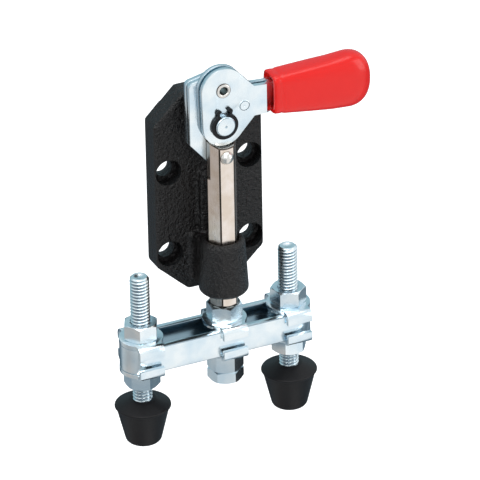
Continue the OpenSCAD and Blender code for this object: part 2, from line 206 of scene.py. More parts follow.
def make_zinc():
    made, tree, shader, place = new_material("zinc_plated_steel", "#e2eef4", 1.0, 0.22)
    drift = add(tree, "ShaderNodeTexNoise", {"Scale": per_mm(9), "Detail": 2.0},
                {"Vector": place}).outputs["Fac"]
    tint = add(tree, "ShaderNodeValToRGB", links={"Fac": drift})
    tint.color_ramp.elements[0].position = 0.35
    tint.color_ramp.elements[0].color = linear("#d3e4ee")
    tint.color_ramp.elements[1].position = 0.65
    tint.color_ramp.elements[1].color = linear("#ebf3f6")
    tree.links.new(tint.outputs["Color"], shader.inputs["Base Color"])
    marks = add(tree, "ShaderNodeTexNoise", {"Scale": per_mm(0.9), "Detail": 4.0},
                {"Vector": stretched(tree, place, (0.25, 1, 1))}).outputs["Fac"]
    tree.links.new(spread(tree, marks, 0.16, 0.30), shader.inputs["Roughness"])
    bump = add(tree, "ShaderNodeBump", {"Strength": 0.12, "Distance": 0.03 * MM},
               {"Height": marks})
    tree.links.new(bump.outputs["Normal"], shader.inputs["Normal"])
    return made


def make_bar_zinc():
    """The bar's plate, with painted shade on its faces inside the loop."""
    made = make_zinc()
    made.name = "zinc_plated_bar_painted_shade"
    tree = made.node_tree
    shader = tree.nodes["Principled BSDF"]
    outer = shader.inputs["Base Color"].links[0].from_socket
    low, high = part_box("bar_loop")
    middle = (low + high) / 2
    wall = 2.9 * MM
    place = add(tree, "ShaderNodeTexCoord").outputs["Object"]
    parts = add(tree, "ShaderNodeSeparateXYZ", {}, {"Vector": place}).outputs
    inside = None
    for part, half, centre in (("X", (high.x - low.x) / 2 - wall, middle.x),
                               ("Y", (high.y - low.y) / 2 - wall, middle.y)):
        within = add(tree, "ShaderNodeMath", {"operation": "COMPARE", 1: centre,
                                              2: half + 0.1 * MM}, {0: parts[part]}).outputs[0]
        inside = within if inside is None else add(
            tree, "ShaderNodeMath", {"operation": "MULTIPLY"}, {0: inside, 1: within}).outputs[0]
    # painted shade: the faces inside the loop get a darker blue-grey
    colour = add(tree, "ShaderNodeMixRGB", {"Color2": linear("#7f98a5")},
                 {"Fac": inside, "Color1": outer})
    tree.links.new(colour.outputs["Color"], shader.inputs["Base Color"])
    return made


def make_inner_zinc():
    """The rear handle plate's, with painted shade on its face between the plates."""
    made = make_zinc()
    made.name = "zinc_plated_inner_face_painted_shade"
    tree = made.node_tree
    shader = tree.nodes["Principled BSDF"]
    outer = shader.inputs["Base Color"].links[0].from_socket
    face_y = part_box("handle_plate_rear")[0].y
    place = add(tree, "ShaderNodeTexCoord").outputs["Object"]
    parts = add(tree, "ShaderNodeSeparateXYZ", {}, {"Vector": place}).outputs
    inside = add(tree, "ShaderNodeMath", {"operation": "COMPARE", 1: face_y, 2: 0.1 * MM},
                 {0: parts["Y"]}).outputs[0]
    # painted shade: the face that looks into the gap between the plates gets a darker teal
    colour = add(tree, "ShaderNodeMixRGB", {"Color2": linear("#8fb0bb")},
                 {"Fac": inside, "Color1": outer})
    tree.links.new(colour.outputs["Color"], shader.inputs["Base Color"])
    return made


def make_thread_zinc():
    """The same plate on a screw, with painted shade that darkens its grooves."""
    made, tree, shader, place = new_material("zinc_plated_thread_painted_shade", "#e2eef4", 1.0, 0.26)
    # painted shade: the deeper a point lies in a groove, the darker it is
    tree.links.new(groove_painted_shade(tree, "#e6f1f6", "#8d9fab"), shader.inputs["Base Color"])
    return made


def make_edge_zinc():
    """The sheared and rounded edges of the plates, darker as painted shade so that they show as lines.
    """
    return new_material("zinc_plated_edge_painted_shade", "#93a5b0", 1.0, 0.30)[0]


zinc = make_zinc()
thread_zinc_painted_shade = make_thread_zinc()
bar_zinc_painted_shade = make_bar_zinc()
inner_zinc_painted_shade = make_inner_zinc()
edge_zinc_painted_shade = make_edge_zinc()
print("made", zinc.name, thread_zinc_painted_shade.name, edge_zinc_painted_shade.name)

# %% [markdown]
# ## Drawn, nickel-plated steel
#
# The plunger is drawn hexagonal bar with a warm nickel plate. Drawing
# leaves fine lines along the bar, so its grain is stretched along Z and
# its highlights are streaked lengthwise.

# %% Nickel-plated drawn bar


def make_nickel():
    made, tree, shader, place = new_material("nickel_plated_bar", "#e3dac8", 1.0, 0.30)
    lines = add(tree, "ShaderNodeTexNoise", {"Scale": per_mm(0.45), "Detail": 3.0},
                {"Vector": stretched(tree, place, (1, 1, 0.03))}).outputs["Fac"]
    clouds = add(tree, "ShaderNodeTexNoise", {"Scale": per_mm(5), "Detail": 2.0},
                 {"Vector": place}).outputs["Fac"]
    tint = add(tree, "ShaderNodeValToRGB", links={"Fac": clouds})
    tint.color_ramp.elements[0].position = 0.35
    tint.color_ramp.elements[0].color = linear("#dccfc1")
    tint.color_ramp.elements[1].position = 0.7
    tint.color_ramp.elements[1].color = linear("#ece3dc")
    tree.links.new(tint.outputs["Color"], shader.inputs["Base Color"])
    tree.links.new(spread(tree, lines, 0.22, 0.36), shader.inputs["Roughness"])
    bump = add(tree, "ShaderNodeBump", {"Strength": 0.15, "Distance": 0.03 * MM},
               {"Height": lines})
    tree.links.new(bump.outputs["Normal"], shader.inputs["Normal"])
    return made


def make_rivet_steel():
    """Peened rivets: the same nickel on soft steel, neutral and smoother, with painted shade where a
    rivet's mesh marks grooves.
    """
    made, tree, shader, place = new_material("nickel_plated_rivet_painted_shade", "#dfe0de", 1.0, 0.24)
    dents = add(tree, "ShaderNodeTexNoise", {"Scale": per_mm(0.8), "Detail": 2.0},
                {"Vector": place}).outputs["Fac"]
    tree.links.new(spread(tree, dents, 0.20, 0.30), shader.inputs["Roughness"])
    tree.links.new(groove_painted_shade(tree, "#dcd9d4", "#3c302a"), shader.inputs["Base Color"])
    return made


nickel = make_nickel()
# the plunger's corner chamfers: a dark copy of the nickel, painted shade that draws them as lines
edge_nickel_painted_shade = new_material("nickel_plated_corner_painted_shade", "#4d453f", 1.0, 0.32)[0]
rivet_steel_painted_shade = make_rivet_steel()
print("made", nickel.name, rivet_steel_painted_shade.name)

# %% [markdown]
# ## Painted casting
#
# The base is sand-cast iron under a thin coat of black paint. The sand
# leaves a grain of about a millimetre, the paint a finer orange peel,
# so highlights break into small specks.

# %% Black paint on cast iron


def make_casting_paint():
    made, tree, shader, place = new_material("painted_cast_iron", "#0a090a", 0.0, 0.38)
    shader.inputs["IOR"].default_value = 1.42
    sand = add(tree, "ShaderNodeTexNoise", {"Scale": per_mm(1.6), "Detail": 5.0},
               {"Vector": place}).outputs["Fac"]
    peel = add(tree, "ShaderNodeTexVoronoi", {"Scale": per_mm(0.7)},
               {"Vector": place}).outputs["Distance"]
    tree.links.new(spread(tree, sand, 0.26, 0.48), shader.inputs["Roughness"])
    tint = add(tree, "ShaderNodeValToRGB", links={"Fac": sand})
    tint.color_ramp.elements[0].color = linear("#050404")
    tint.color_ramp.elements[1].color = linear("#120f10")
    tree.links.new(tint.outputs["Color"], shader.inputs["Base Color"])
    fine = add(tree, "ShaderNodeBump", {"Strength": 0.8, "Distance": 0.30 * MM},
               {"Height": peel})
    coarse = add(tree, "ShaderNodeBump", {"Strength": 1.0, "Distance": 1.1 * MM},
                 {"Height": sand, "Normal": fine.outputs["Normal"]})
    tree.links.new(coarse.outputs["Normal"], shader.inputs["Normal"])
    return made


casting_paint = make_casting_paint()
print("made", casting_paint.name)

# %% [markdown]
# ## Vinyl, rubber and black oxide
#
# The grip is dipped vinyl: glossy, opaque and a little uneven. The feet
# are moulded rubber: deep black with a satin skin. The clip is spring
# steel blackened in a hot salt bath, dark and slightly glossy.

# %% The three dark or coloured finishes


def make_vinyl():
    made, tree, shader, place = new_material("dipped_vinyl", "#e0100a", 0.0, 0.26)
    shader.inputs["IOR"].default_value = 1.44
    shader.inputs["Coat Weight"].default_value = 0.10
    shader.inputs["Coat Roughness"].default_value = 0.12
    waves = add(tree, "ShaderNodeTexNoise", {"Scale": per_mm(7), "Detail": 2.0},
                {"Vector": place}).outputs["Fac"]
    tree.links.new(spread(tree, waves, 0.20, 0.30), shader.inputs["Roughness"])
    tint = add(tree, "ShaderNodeValToRGB", links={"Fac": waves})
    tint.color_ramp.elements[0].color = linear("#dd0e08")
    tint.color_ramp.elements[1].color = linear("#e4150d")
    tree.links.new(tint.outputs["Color"], shader.inputs["Base Color"])
    bump = add(tree, "ShaderNodeBump", {"Strength": 0.10, "Distance": 0.3 * MM},
               {"Height": waves})
    tree.links.new(bump.outputs["Normal"], shader.inputs["Normal"])
    return made


def make_rubber():
    made, tree, shader, place = new_material("moulded_rubber", "#111012", 0.0, 0.5)
    shader.inputs["IOR"].default_value = 1.32
    skin = add(tree, "ShaderNodeTexNoise", {"Scale": per_mm(0.8), "Detail": 3.0},
               {"Vector": place}).outputs["Fac"]
    tree.links.new(spread(tree, skin, 0.38, 0.55), shader.inputs["Roughness"])
    bump = add(tree, "ShaderNodeBump", {"Strength": 0.10, "Distance": 0.08 * MM},
               {"Height": skin})
    tree.links.new(bump.outputs["Normal"], shader.inputs["Normal"])
    return made


def make_black_oxide():
    made, tree, shader, place = new_material("black_oxide_steel", "#15161a", 0.6, 0.34)
    bloom = add(tree, "ShaderNodeTexNoise", {"Scale": per_mm(1.2), "Detail": 3.0},
                {"Vector": place}).outputs["Fac"]
    tree.links.new(spread(tree, bloom, 0.28, 0.42), shader.inputs["Roughness"])
    return made


vinyl = make_vinyl()
rubber = make_rubber()
black_oxide = make_black_oxide()
print("made", vinyl.name, rubber.name, black_oxide.name)

# %% [markdown]
# ## Edges of the carried-over solids
#
# A sheared or machined edge always has a small round that catches the
# light. The CAD solids have none, so each one that stays gets three
# modifiers: coincident corners are welded, flat facets are merged, and
# the sharp edges are bevelled by a real width in millimetres. The CAD
# mesh itself stays as it is.

# %% Finish the carried-over nodes
FINISHES = {
    "zinc_steel": zinc,
    "nickel_steel": nickel,
    "black_casting": casting_paint,
    "red_vinyl": vinyl,
    "black_rubber": rubber,
    "black_oxide": black_oxide,
}
SLOT_OF = {part["node"]: part["material_slot"] for part in frame["record"]["subparts"]}


def finish_node(node, edge):
    """Gives a CAD node its material and a bevel of that many millimetres."""
    body = frame["nodes"][node]
    body.data.materials.clear()
    own = {"bar_loop": bar_zinc_painted_shade, "handle_plate_rear": inner_zinc_painted_shade}
    body.data.materials.append(own.get(node, FINISHES[SLOT_OF[node]]))
    if edge <= 0:
        return
    body.modifiers.new("weld", "WELD").merge_threshold = 0.002 * MM
    merge = body.modifiers.new("merge", "DECIMATE")
    merge.decimate_type = "DISSOLVE"
    merge.angle_limit = math.radians(1)
    bevel = body.modifiers.new("bevel", "BEVEL")
    bevel.width = edge * MM
    bevel.segments = 2
    bevel.limit_method = "ANGLE"
    bevel.angle_limit = math.radians(35)
    bevel.use_clamp_overlap = True
    bevel.harden_normals = True
    drawn = node == "plunger"
    # the zinc's and the plunger's bevels take a darker copy of the plate: painted shade that draws
    # their edges as lines
    if SLOT_OF[node] == "zinc_steel" or drawn:
        body.data.materials.append(edge_nickel_painted_shade if drawn else edge_zinc_painted_shade)
        bevel.material = 1
    if drawn:
        # a drawn bar's corners are flat chamfers, painted dark as shade, which show as lines
        bevel.segments = 1
        bevel.harden_normals = False
        bevel.use_clamp_overlap = False
    for face in body.data.polygons:
        face.use_smooth = not drawn


EDGE_MM = {
    "pivot_pin": 0.15, "retaining_clip": 0.15,
    "handle_plate_front": 0.3, "handle_plate_rear": 0.3,
    "plunger": 0.42, "bar_loop": 0.35,
    "washer_upper_left": 0.35, "washer_upper_centre": 0.35,
    "washer_upper_right": 0.35, "washer_lower_left": 0.35,
    "washer_lower_centre": 0.35, "washer_lower_right": 0.35,
}
for node_name in frame["nodes"]:
    finish_node(node_name, EDGE_MM.get(node_name, 0))
print("bevelled nodes:", len(EDGE_MM))

# %% [markdown]
# ## Making a mesh piece
#
# Every added piece is a list of points and faces. One helper turns it
# into an object, gives it its finish and body, and hides the CAD node
# that it stands for. A second helper builds a surface from a grid of
# points, ring by ring, which suits everything that is turned, threaded
# or lofted.

# %% Mesh helpers


def centre_of(node):
    """The middle of a CAD node's box."""
    low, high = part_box(node)
    return (low + high) / 2


def make_piece(name, points, faces, material, body, node=None, sharp=35):
    """A mesh object with smooth faces and crisp edges above an angle."""
    mesh = bpy.data.meshes.new(name)
    mesh.from_pydata([tuple(p) for p in points], [], faces)
    mesh.update()
    work = bmesh.new()
    work.from_mesh(mesh)
    bmesh.ops.remove_doubles(work, verts=work.verts, dist=0.0005 * MM)
    bmesh.ops.recalc_face_normals(work, faces=work.faces)
    for edge in work.edges:
        if len(edge.link_faces) == 2 and edge.calc_face_angle(0) > math.radians(sharp):
            edge.smooth = False
    for face in work.faces:
        face.smooth = True
    work.to_mesh(mesh)
    work.free()
    mesh.materials.append(material)
    made = bpy.data.objects.new(name, mesh)
    bpy.context.collection.objects.link(made)
    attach(made, body)
    if node:
        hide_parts(node)
    return made


def grid_faces(rings, around):
    """Quads between neighbouring rings of points, closed around."""
    faces = []
    for i in range(rings - 1):
        for k in range(around):
            n = (k + 1) % around
            faces.append((i * around + k, i * around + n,
                          (i + 1) * around + n, (i + 1) * around + k))
    return faces


def turned(name, profile, centre, axis, material, body, node=None, around=64):
    """A turned piece: profile is (radius, height) pairs along the axis."""
    points = []
    for radius, height in profile:
        for k in range(around):
            a = 2 * math.pi * k / around
            flat = (radius * math.cos(a), radius * math.sin(a), height)
            if axis == "-y":
                flat = (flat[0], -flat[2], flat[1])
            points.append(centre + Vector(flat) * MM)
    return make_piece(name, points, grid_faces(len(profile), around),
                      material, body, node)


def mark_painted_shade(piece, depth_at):
    """Writes on each point how deep it lies in a groove, from 0 to 1, which sets how much painted
    shade it gets.
    """
    groove = piece.data.attributes.new("groove", "FLOAT", "POINT")
    for vertex, value in zip(piece.data.vertices, groove.data):
        value.value = depth_at(vertex.co)


def arc(cx, cy, radius, start, end, steps):
    """Points on an arc, angles in degrees."""
    return [(cx + radius * math.cos(math.radians(start + (end - start) * i / steps)),
             cy + radius * math.sin(math.radians(start + (end - start) * i / steps)))
            for i in range(steps + 1)]


print("helpers ready")

# %% [markdown]
# ## Threaded spindles
#
# Each spindle is a 5/16 inch screw with 18 threads to the inch. A real
# thread is a helix, so the mesh is a grid of rings whose radius depends
# on the height and on the angle together: one turn around shifts the
# profile by one pitch. The thread fades out over the bevelled end.

# %% Cut the threads
THREAD_D = 7.94
PITCH = 25.4 / 18
THREAD_DEPTH = 0.61 * PITCH
THREAD_ROOT = 0.125
RINGS_PER_PITCH = 14
THREAD_AROUND = 48


def thread_radius(height, angle):
    """Radius of a V thread with a flat crest and root."""
    phase = (height / PITCH - angle / (2 * math.pi)) % 1.0
    ramp = abs(phase - 0.5) * 2
    level = min(1.0, max(0.0, (ramp - THREAD_ROOT) / (1 - 2 * THREAD_ROOT)))
    return THREAD_D / 2 - THREAD_DEPTH * level


def threaded_rod(name, node, rise, body):
    """A threaded rod in the place of its CAD node, with a chamfer and a cup on top."""
    low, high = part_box(node)
    axis = centre_of(node)
    top = high.z / MM + rise
    chamfer = 0.85
    face_r = THREAD_D / 2 - chamfer
    heights = np.arange(low.z / MM, top - 1e-6, PITCH / RINGS_PER_PITCH).tolist() + [top]
    rings = [(h, min(THREAD_D / 2, face_r + top - h)) for h in heights]
    rings += [(top, face_r * 0.62), (top - 0.25, face_r * 0.5), (top - 0.4, 0.05)]
    points = []
    for h, limit in rings:
        for k in range(THREAD_AROUND):
            a = 2 * math.pi * k / THREAD_AROUND
            r = min(limit, thread_radius(h, a))
            points.append(Vector((axis.x + r * MM * math.cos(a),
                                  axis.y + r * MM * math.sin(a), h * MM)))
    faces = grid_faces(len(rings), THREAD_AROUND)
    count = len(points)
    faces.append(tuple(range(count - THREAD_AROUND, count)))
    faces.append(tuple(reversed(range(THREAD_AROUND))))
    rod = make_piece(name, points, faces, thread_zinc_painted_shade, body, node, sharp=38)

    # painted shade in the thread's roots, by how deep each point lies
    def depth_at(point):
        away = math.hypot(point.x - axis.x, point.y - axis.y) / MM
        return (THREAD_D / 2 - away) / THREAD_DEPTH if point.z / MM < top - chamfer else 0.0

    mark_painted_shade(rod, depth_at)
    return rod


TOP_RISE = {"left": 1.4, "right": 0.7}
for side, rise in TOP_RISE.items():
    threaded_rod("thread_" + side, "spindle_" + side, rise, "plunger")
print("thread pitch", round(PITCH, 3), "mm")

# %% [markdown]
# ## Nuts and bolt head
#
# A hexagon nut is bar stock whose corners are turned off by a 30 degree
# cone, which leaves the curved line where each flat meets the bevel.
# The points go round the hexagon, and each one drops from the end face
# by how far it lies outside the bevel circle. The bore has a countersink
# at both ends.

# %% Bevelled hexagons
NUT_AF = 12.8
HEAD_H = 4.9
CORNER_STEPS = 12


def hexagon_radius(angle, across):
    """Distance from the middle to a hexagon's edge, with a flat at 30 degrees."""
    swing = (angle % (math.pi / 3)) - math.pi / 6
    return across / 2 / math.cos(swing)


def hexagon_piece(name, node, turn, bore, material, bevel_low=True):
    """A bevelled hexagon in the place of a CAD node, bored if bore is set."""
    low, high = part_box(node)
    axis = centre_of(node)
    z0, z1 = low.z / MM, high.z / MM
    if node == "centre_bolt":
        z1 = z0 + HEAD_H
    if node == "nut_lower_centre":
        z0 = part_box("centre_bolt")[0].z / MM + HEAD_H
    around = 6 * CORNER_STEPS
    face_r = NUT_AF / 2 * 0.985
    rings = []
    angles = [2 * math.pi * k / around for k in range(around)]
    sides = [hexagon_radius(a, NUT_AF) for a in angles]
    drop = [max(0.0, r - face_r) * math.tan(math.radians(30)) for r in sides]
    if bore:
        rings.append([(bore / 2, z0 + 0.7)] * around)
        rings.append([(bore / 2 + 0.45, z0)] * around)
    else:
        rings.append([(0.01, z0)] * around)
    if bevel_low:
        rings.append([(face_r, z0)] * around)
        rings.append([(r, z0 + d) for r, d in zip(sides, drop)])
    else:
        rings.append([(r, z0) for r in sides])
    rings.append([(r, z1 - d) for r, d in zip(sides, drop)])
    rings.append([(face_r, z1)] * around)
    if bore:
        rings.append([(bore / 2 + 0.45, z1)] * around)
        rings.append([(bore / 2, z1 - 0.7)] * around)
        rings.append([(bore / 2, z0 + 0.7)] * around)
    else:
        rings.append([(0.01, z1)] * around)
    spin = math.radians(turn)
    points = [Vector((axis.x + r * MM * math.cos(a + spin),
                      axis.y + r * MM * math.sin(a + spin), z * MM))
              for ring in rings for (r, z), a in zip(ring, angles)]
    return make_piece(name, points, grid_faces(len(rings), around),
                      material, "plunger", node, sharp=20)


NUT_TURN = {
    "nut_upper_left": 4, "nut_upper_centre": 26, "nut_upper_right": 40,
    "nut_lower_left": 32, "nut_lower_centre": 36, "nut_lower_right": 55,
}
for nut, angle in NUT_TURN.items():
    hexagon_piece("bevelled_" + nut, nut, angle, THREAD_D, zinc)
hexagon_piece("bolt_head", "centre_bolt", 39, 0, zinc)
print("hexagons:", len(NUT_TURN) + 1)

# %% [markdown]
# ## Rivets
#
# The rivets are peened: the plunger rivet has a domed head, and the
# hollow crank rivet's rim is rolled over into a small ring. Both are
# turned shapes along Y.

# %% Turn the rivets


def crank_rivet_piece():
    low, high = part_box("crank_rivet")
    middle = centre_of("crank_rivet")
    depth = (high.y - low.y) / MM
    outer, bore, roll = 3.1, 1.75, 0.42
    front = Vector((middle.x, low.y, middle.z))
    profile = [(bore, -depth + 0.2)]
    profile += [(bore, -0.8)]
    profile += arc(outer - roll - 0.45, -roll, roll + 0.18, 170, 90, 5)
    profile += arc(outer - roll, -roll, roll, 80, 0, 5)
    profile += [(outer, -0.9), (outer, -depth + 0.5)]
    profile += [(3.5, -depth + 0.4), (3.3, -depth), (bore + 0.1, -depth), (bore, -depth + 0.2)]
    rivet = turned("rolled_crank_rivet", profile, front, "-y", rivet_steel_painted_shade, "handle",
                   "crank_rivet", 48)
    edge = (outer - 0.2) * MM

    # painted shade: dark round the rolled rim's outside, partly dark in the bore
    def depth_at(point):
        away = math.hypot(point.x - front.x, point.z - front.z)
        deep = point.y > front.y + 0.3 * MM
        if deep and away < (bore + 0.1) * MM:
            return 0.6
        return 1.0 if away > edge else 0.0

    mark_painted_shade(rivet, depth_at)
    return rivet


def stop_rivet_piece():
    """A flush rivet: the peened edge leaves a thin ring, the punch a dot."""
    low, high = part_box("stop_rivet")
    middle = centre_of("stop_rivet")
    depth = (high.y - low.y) / MM
    front = Vector((middle.x, low.y, middle.z))
    profile = [(0.01, -0.3), (0.3, -0.02), (0.34, 0), (1.82, 0), (1.88, -0.3), (2.04, -0.3),
               (2.1, 0), (2.25, -0.05), (2.25, -0.15), (2.0, -0.15), (2.0, -depth), (0.01, -depth)]
    rivet = turned("flush_stop_rivet", profile, front, "-y", thread_zinc_painted_shade, "handle",
                   "stop_rivet", 48)
    # painted shade in the ring, the punch dot and everything below the face
    mark_painted_shade(rivet, lambda point: 1.0 if point.y > front.y + 0.2 * MM else 0.0)
    return rivet


def plunger_rivet_piece():
    low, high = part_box("plunger_rivet")
    middle = centre_of("plunger_rivet")
    base = Vector((middle.x, high.y, middle.z))
    depth = (high.y - low.y) / MM
    head_r, rise = 2.75, 2.15
    ball = (head_r ** 2 + rise ** 2) / (2 * rise)
    flat = depth - rise
    edge = math.degrees(math.asin(head_r / ball))
    profile = [(0.01, 0), (2.4, 0), (2.4, flat), (head_r - 0.15, flat), (head_r, flat + 0.15)]
    for i in range(1, 11):
        swing = math.radians(edge * (1 - i / 10))
        profile.append((max(0.01, ball * math.sin(swing)),
                        flat + rise - ball + ball * math.cos(swing)))
    return turned("domed_plunger_rivet", profile, base, "-y", rivet_steel_painted_shade, "plunger",
                  "plunger_rivet", 48)


crank_rivet_piece()
stop_rivet_piece()
plunger_rivet_piece()
print("rivets turned")

# %% [markdown]
# ## Rubber feet
#
# A foot is moulded round the spindle's head: a taper with a soft rim, a
# slightly dished top and a rounded pad edge.

# %% Turn the feet


def rubber_foot(side):
    node = "foot_" + side
    low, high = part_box(node)
    middle = centre_of(node)
    height = (high.z - low.z) / MM
    rim, pad = (high.x - low.x) / 2 / MM, 7.3
    base = Vector((middle.x, middle.y, low.z))
    neck = 5.2
    rim_z = height - 2.6
    profile = [(0.01, 0), (pad - 2.4, 0)]
    profile += arc(pad - 2.2, 2.4, 2.4, -90, -14, 8)
    profile += [(rim - 0.75, rim_z - 1.6)]
    profile += arc(rim - 0.6, rim_z - 0.6, 0.6, -10, 70, 6)
    profile += [(neck + 0.6, height - 0.4), (neck, height), (4.2, height), (3.95, height - 0.3),
                (3.95, height - 7.5), (0.01, height - 7.5)]
    return turned("rubber_foot_" + side, profile, base, "z", rubber, "plunger",
                  node, 96)


for side in ("left", "right"):
    rubber_foot(side)
print("feet turned")

# %% [markdown]
# ## The dipped grip
#
# The grip is a vinyl sleeve. Its section is a rounded rectangle that
# swells toward the end, its mouth is rolled, and its end is closed and
# softly rounded. It is lofted: sections along X, each with its own
# height and thickness.

# %% Loft the grip
GRIP_AROUND = 72


def section(half_h, half_t, squareness, around=GRIP_AROUND):
    """A rounded rectangle as (y, z) pairs."""
    ring = []
    for k in range(around):
        a = 2 * math.pi * k / around
        c, s = math.cos(a), math.sin(a)
        ring.append((half_t * math.copysign(abs(c) ** (2 / squareness), c),
                     half_h * math.copysign(abs(s) ** (2 / squareness), s)))
    return ring


def grip_piece():
    low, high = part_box("grip")
    x0, x1 = low.x / MM, high.x / MM
    mid_y, mid_z = centre_of("grip").y / MM, centre_of("grip").z / MM
    mouth_h, growth = 8.2, 0.1
    end_len = 10.0
    straight = x1 - x0 - end_len
    end_h = mouth_h + growth * straight
    rings = []
    # inside of the mouth, then the rolled lip
    rings.append((x0 + 3, 6.32, 2.2, 7))
    rings.append((x0 + 1.3, 6.4, 2.4, 7))
    rings.append((x0 + 0.5, 6.7, 3.1, 6))
    rings.append((x0 + 0.05, 7.4, 4.3, 5))
    rings.append((x0 + 0.2, 8.1, 5.5, 4.8))
    for i in range(0, 49):
        x = 0.7 + (straight - 0.7) * i / 48
        # the rolled lip ends in a shallow crease
        crease = 0.22 * math.exp(-((x - 3.4) / 0.7) ** 2)
        rings.append((x0 + x, mouth_h + growth * x - crease, 5.9 + 0.65 * min(1.0, x / 20) - crease,
                      4.8 - 1.7 * x / straight))
    for i in range(1, 29):
        along = i / 28
        along = math.sin(math.radians(90 * along))
        close = (1 - along ** 2.5) ** (1 / 2.5)
        rings.append((x1 - end_len + (end_len - 0.4) * along, max(end_h * close, 0.02),
                      max(6.55 * close ** 0.8, 0.02), 3.1 - 0.8 * along))
    points = []
    for x, h, t, n in rings:
        sink = 1.5 * min(1.0, (x - x0) / (x1 - x0) / 0.6)
        points += [Vector((x, mid_y + y, mid_z - sink + z)) * MM for y, z in section(h, t, n)]
    return make_piece("vinyl_grip", points, grid_faces(len(rings), GRIP_AROUND),
                      vinyl, "handle", "grip", sharp=70)


grip_piece()
print("grip lofted")

# %% [markdown]
# ## Cutting and casting
#
# Sand casting leaves no sharp edge, and drilling afterwards leaves crisp
# ones. So the casting's holes are plugged, the copy is remeshed into
# small even cells and relaxed, which rounds every corner alike, and the
# holes are drilled again. The same cutting helper gives the link plates
# their lower, rounder shoulder.

# %% Cast the base, trim the links
VOXEL = 0.55
HOLE_D = 7.1
CBORE_D = 11.0
CBORE_DEPTH = 4.9
BASE_T = 9.7
LINK_CORNER_R = 2.2
LINK_TOP_R = 4.9


def prism(name, outline, y0, y1):
    """A closed prism along Y from an outline in X and Z, in millimetres."""
    count = len(outline)
    points = [Vector((x, y, z)) * MM for y in (y0, y1) for x, z in outline]
    faces = [tuple(range(count)), tuple(reversed(range(count, 2 * count)))]
    for k in range(count):
        n = (k + 1) % count
        faces.append((k, k + count, n + count, n))
    mesh = bpy.data.meshes.new(name)
    mesh.from_pydata(points, [], faces)
    work = bmesh.new()
    work.from_mesh(mesh)
    bmesh.ops.recalc_face_normals(work, faces=work.faces)
    work.to_mesh(mesh)
    work.free()
    made = bpy.data.objects.new(name, mesh)
    bpy.context.collection.objects.link(made)
    return made


def round_bar(name, x, z, diameter, y0, y1):
    return prism(name, [(x + px, z + pz) for px, pz in arc(0, 0, diameter / 2, 0, 354, 59)], y0, y1)


def apply_modifiers(piece):
    """Turns a piece's modifiers into its mesh."""
    shaped = bpy.data.meshes.new_from_object(
        piece.evaluated_get(bpy.context.evaluated_depsgraph_get()))
    piece.modifiers.clear()
    piece.data = shaped


def boolean(piece, operation, tools):
    """Joins the tools to a piece or cuts them out of it, and deletes them."""
    for tool in tools:
        step = piece.modifiers.new("step", "BOOLEAN")
        step.operation = operation
        step.solver = "EXACT"
        step.object = tool
    apply_modifiers(piece)
    for tool in tools:
        bpy.data.objects.remove(tool)


def copy_of_node(name, node):
    source = frame["nodes"][node]
    made = bpy.data.objects.new(name, source.data.copy())
    bpy.context.collection.objects.link(made)
    made.matrix_world = source.matrix_world.copy()
    weld = made.modifiers.new("weld", "WELD")
    weld.merge_threshold = 0.002 * MM
    apply_modifiers(made)
    return made


def cast_base():
    bolts = frame["record"]["mounts"][0]["dims"]
    places = [(sx * bolts["spacing_x_mm"] / 2, sz * bolts["spacing_y_mm"] / 2)
              for sx in (-1, 1) for sz in (-1, 1)]
    made = copy_of_node("cast_base", "base_casting")
    boolean(made, "UNION", [round_bar("plug", x, z, CBORE_D + 0.4, -BASE_T + 0.02, -0.02)
                            for x, z in places])
    remesh = made.modifiers.new("remesh", "REMESH")
    remesh.mode = "VOXEL"
    remesh.voxel_size = VOXEL * MM
    relax = made.modifiers.new("relax", "SMOOTH")
    relax.factor = 0.5
    relax.iterations = 8
    apply_modifiers(made)
    boolean(made, "DIFFERENCE", [round_bar("drill", x, z, HOLE_D, -BASE_T - 2, 2)
                                 for x, z in places])
    boolean(made, "DIFFERENCE", [round_bar("cutter", x, z, CBORE_D, -BASE_T - 2, -BASE_T + CBORE_DEPTH)
                                 for x, z in places])
    return made


def link_trim():
    """What is cut from a link plate above its left shoulder."""
    crank = centre_of("crank_rivet")
    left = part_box("link_plate_front")[0].x / MM
    z = crank.z / MM
    lean = math.degrees(math.acos((LINK_CORNER_R - LINK_TOP_R) / (-left - LINK_CORNER_R))) - 3.4
    outline = [(left - 1, z + 0.6)]
    outline += arc(left + LINK_CORNER_R, z + 0.6, LINK_CORNER_R, 180, lean, 8)
    outline += arc(0, z, LINK_TOP_R, lean, 80, 4)
    outline += [(9, z + LINK_TOP_R), (9, z + 12), (left - 1, z + 12)]
    return prism("trim", outline, -30, -5)


def clip_trims():
    """What is cut from the clip's ears, so that they end in small hooks."""
    pin = centre_of("pivot_pin")
    bars = []
    for side in (-1, 1):
        for across, up, diameter in ((0.9, 5.1, 2.6), (4.1, 5.0, 2.0)):
            bars.append(round_bar("trim", side * across, pin.z / MM + up, diameter, -40, 0))
    return bars


def crisp(piece, width, edge):
    """The small round of a sheared edge, as on the carried-over nodes."""
    merge = piece.modifiers.new("merge", "DECIMATE")
    merge.decimate_type = "DISSOLVE"
    merge.angle_limit = math.radians(1)
    bevel = piece.modifiers.new("bevel", "BEVEL")
    bevel.width = width * MM
    bevel.segments = 2
    bevel.limit_method = "ANGLE"
    bevel.angle_limit = math.radians(35)
    bevel.harden_normals = True
    # the round takes the given edge material: on the zinc pieces a darker copy, painted shade
    piece.data.materials.append(edge)
    bevel.material = 1


def place_piece(piece, material, body, node):
    piece.data.materials.clear()
    piece.data.materials.append(material)
    for face in piece.data.polygons:
        face.use_smooth = True
    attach(piece, body)
    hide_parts(node)


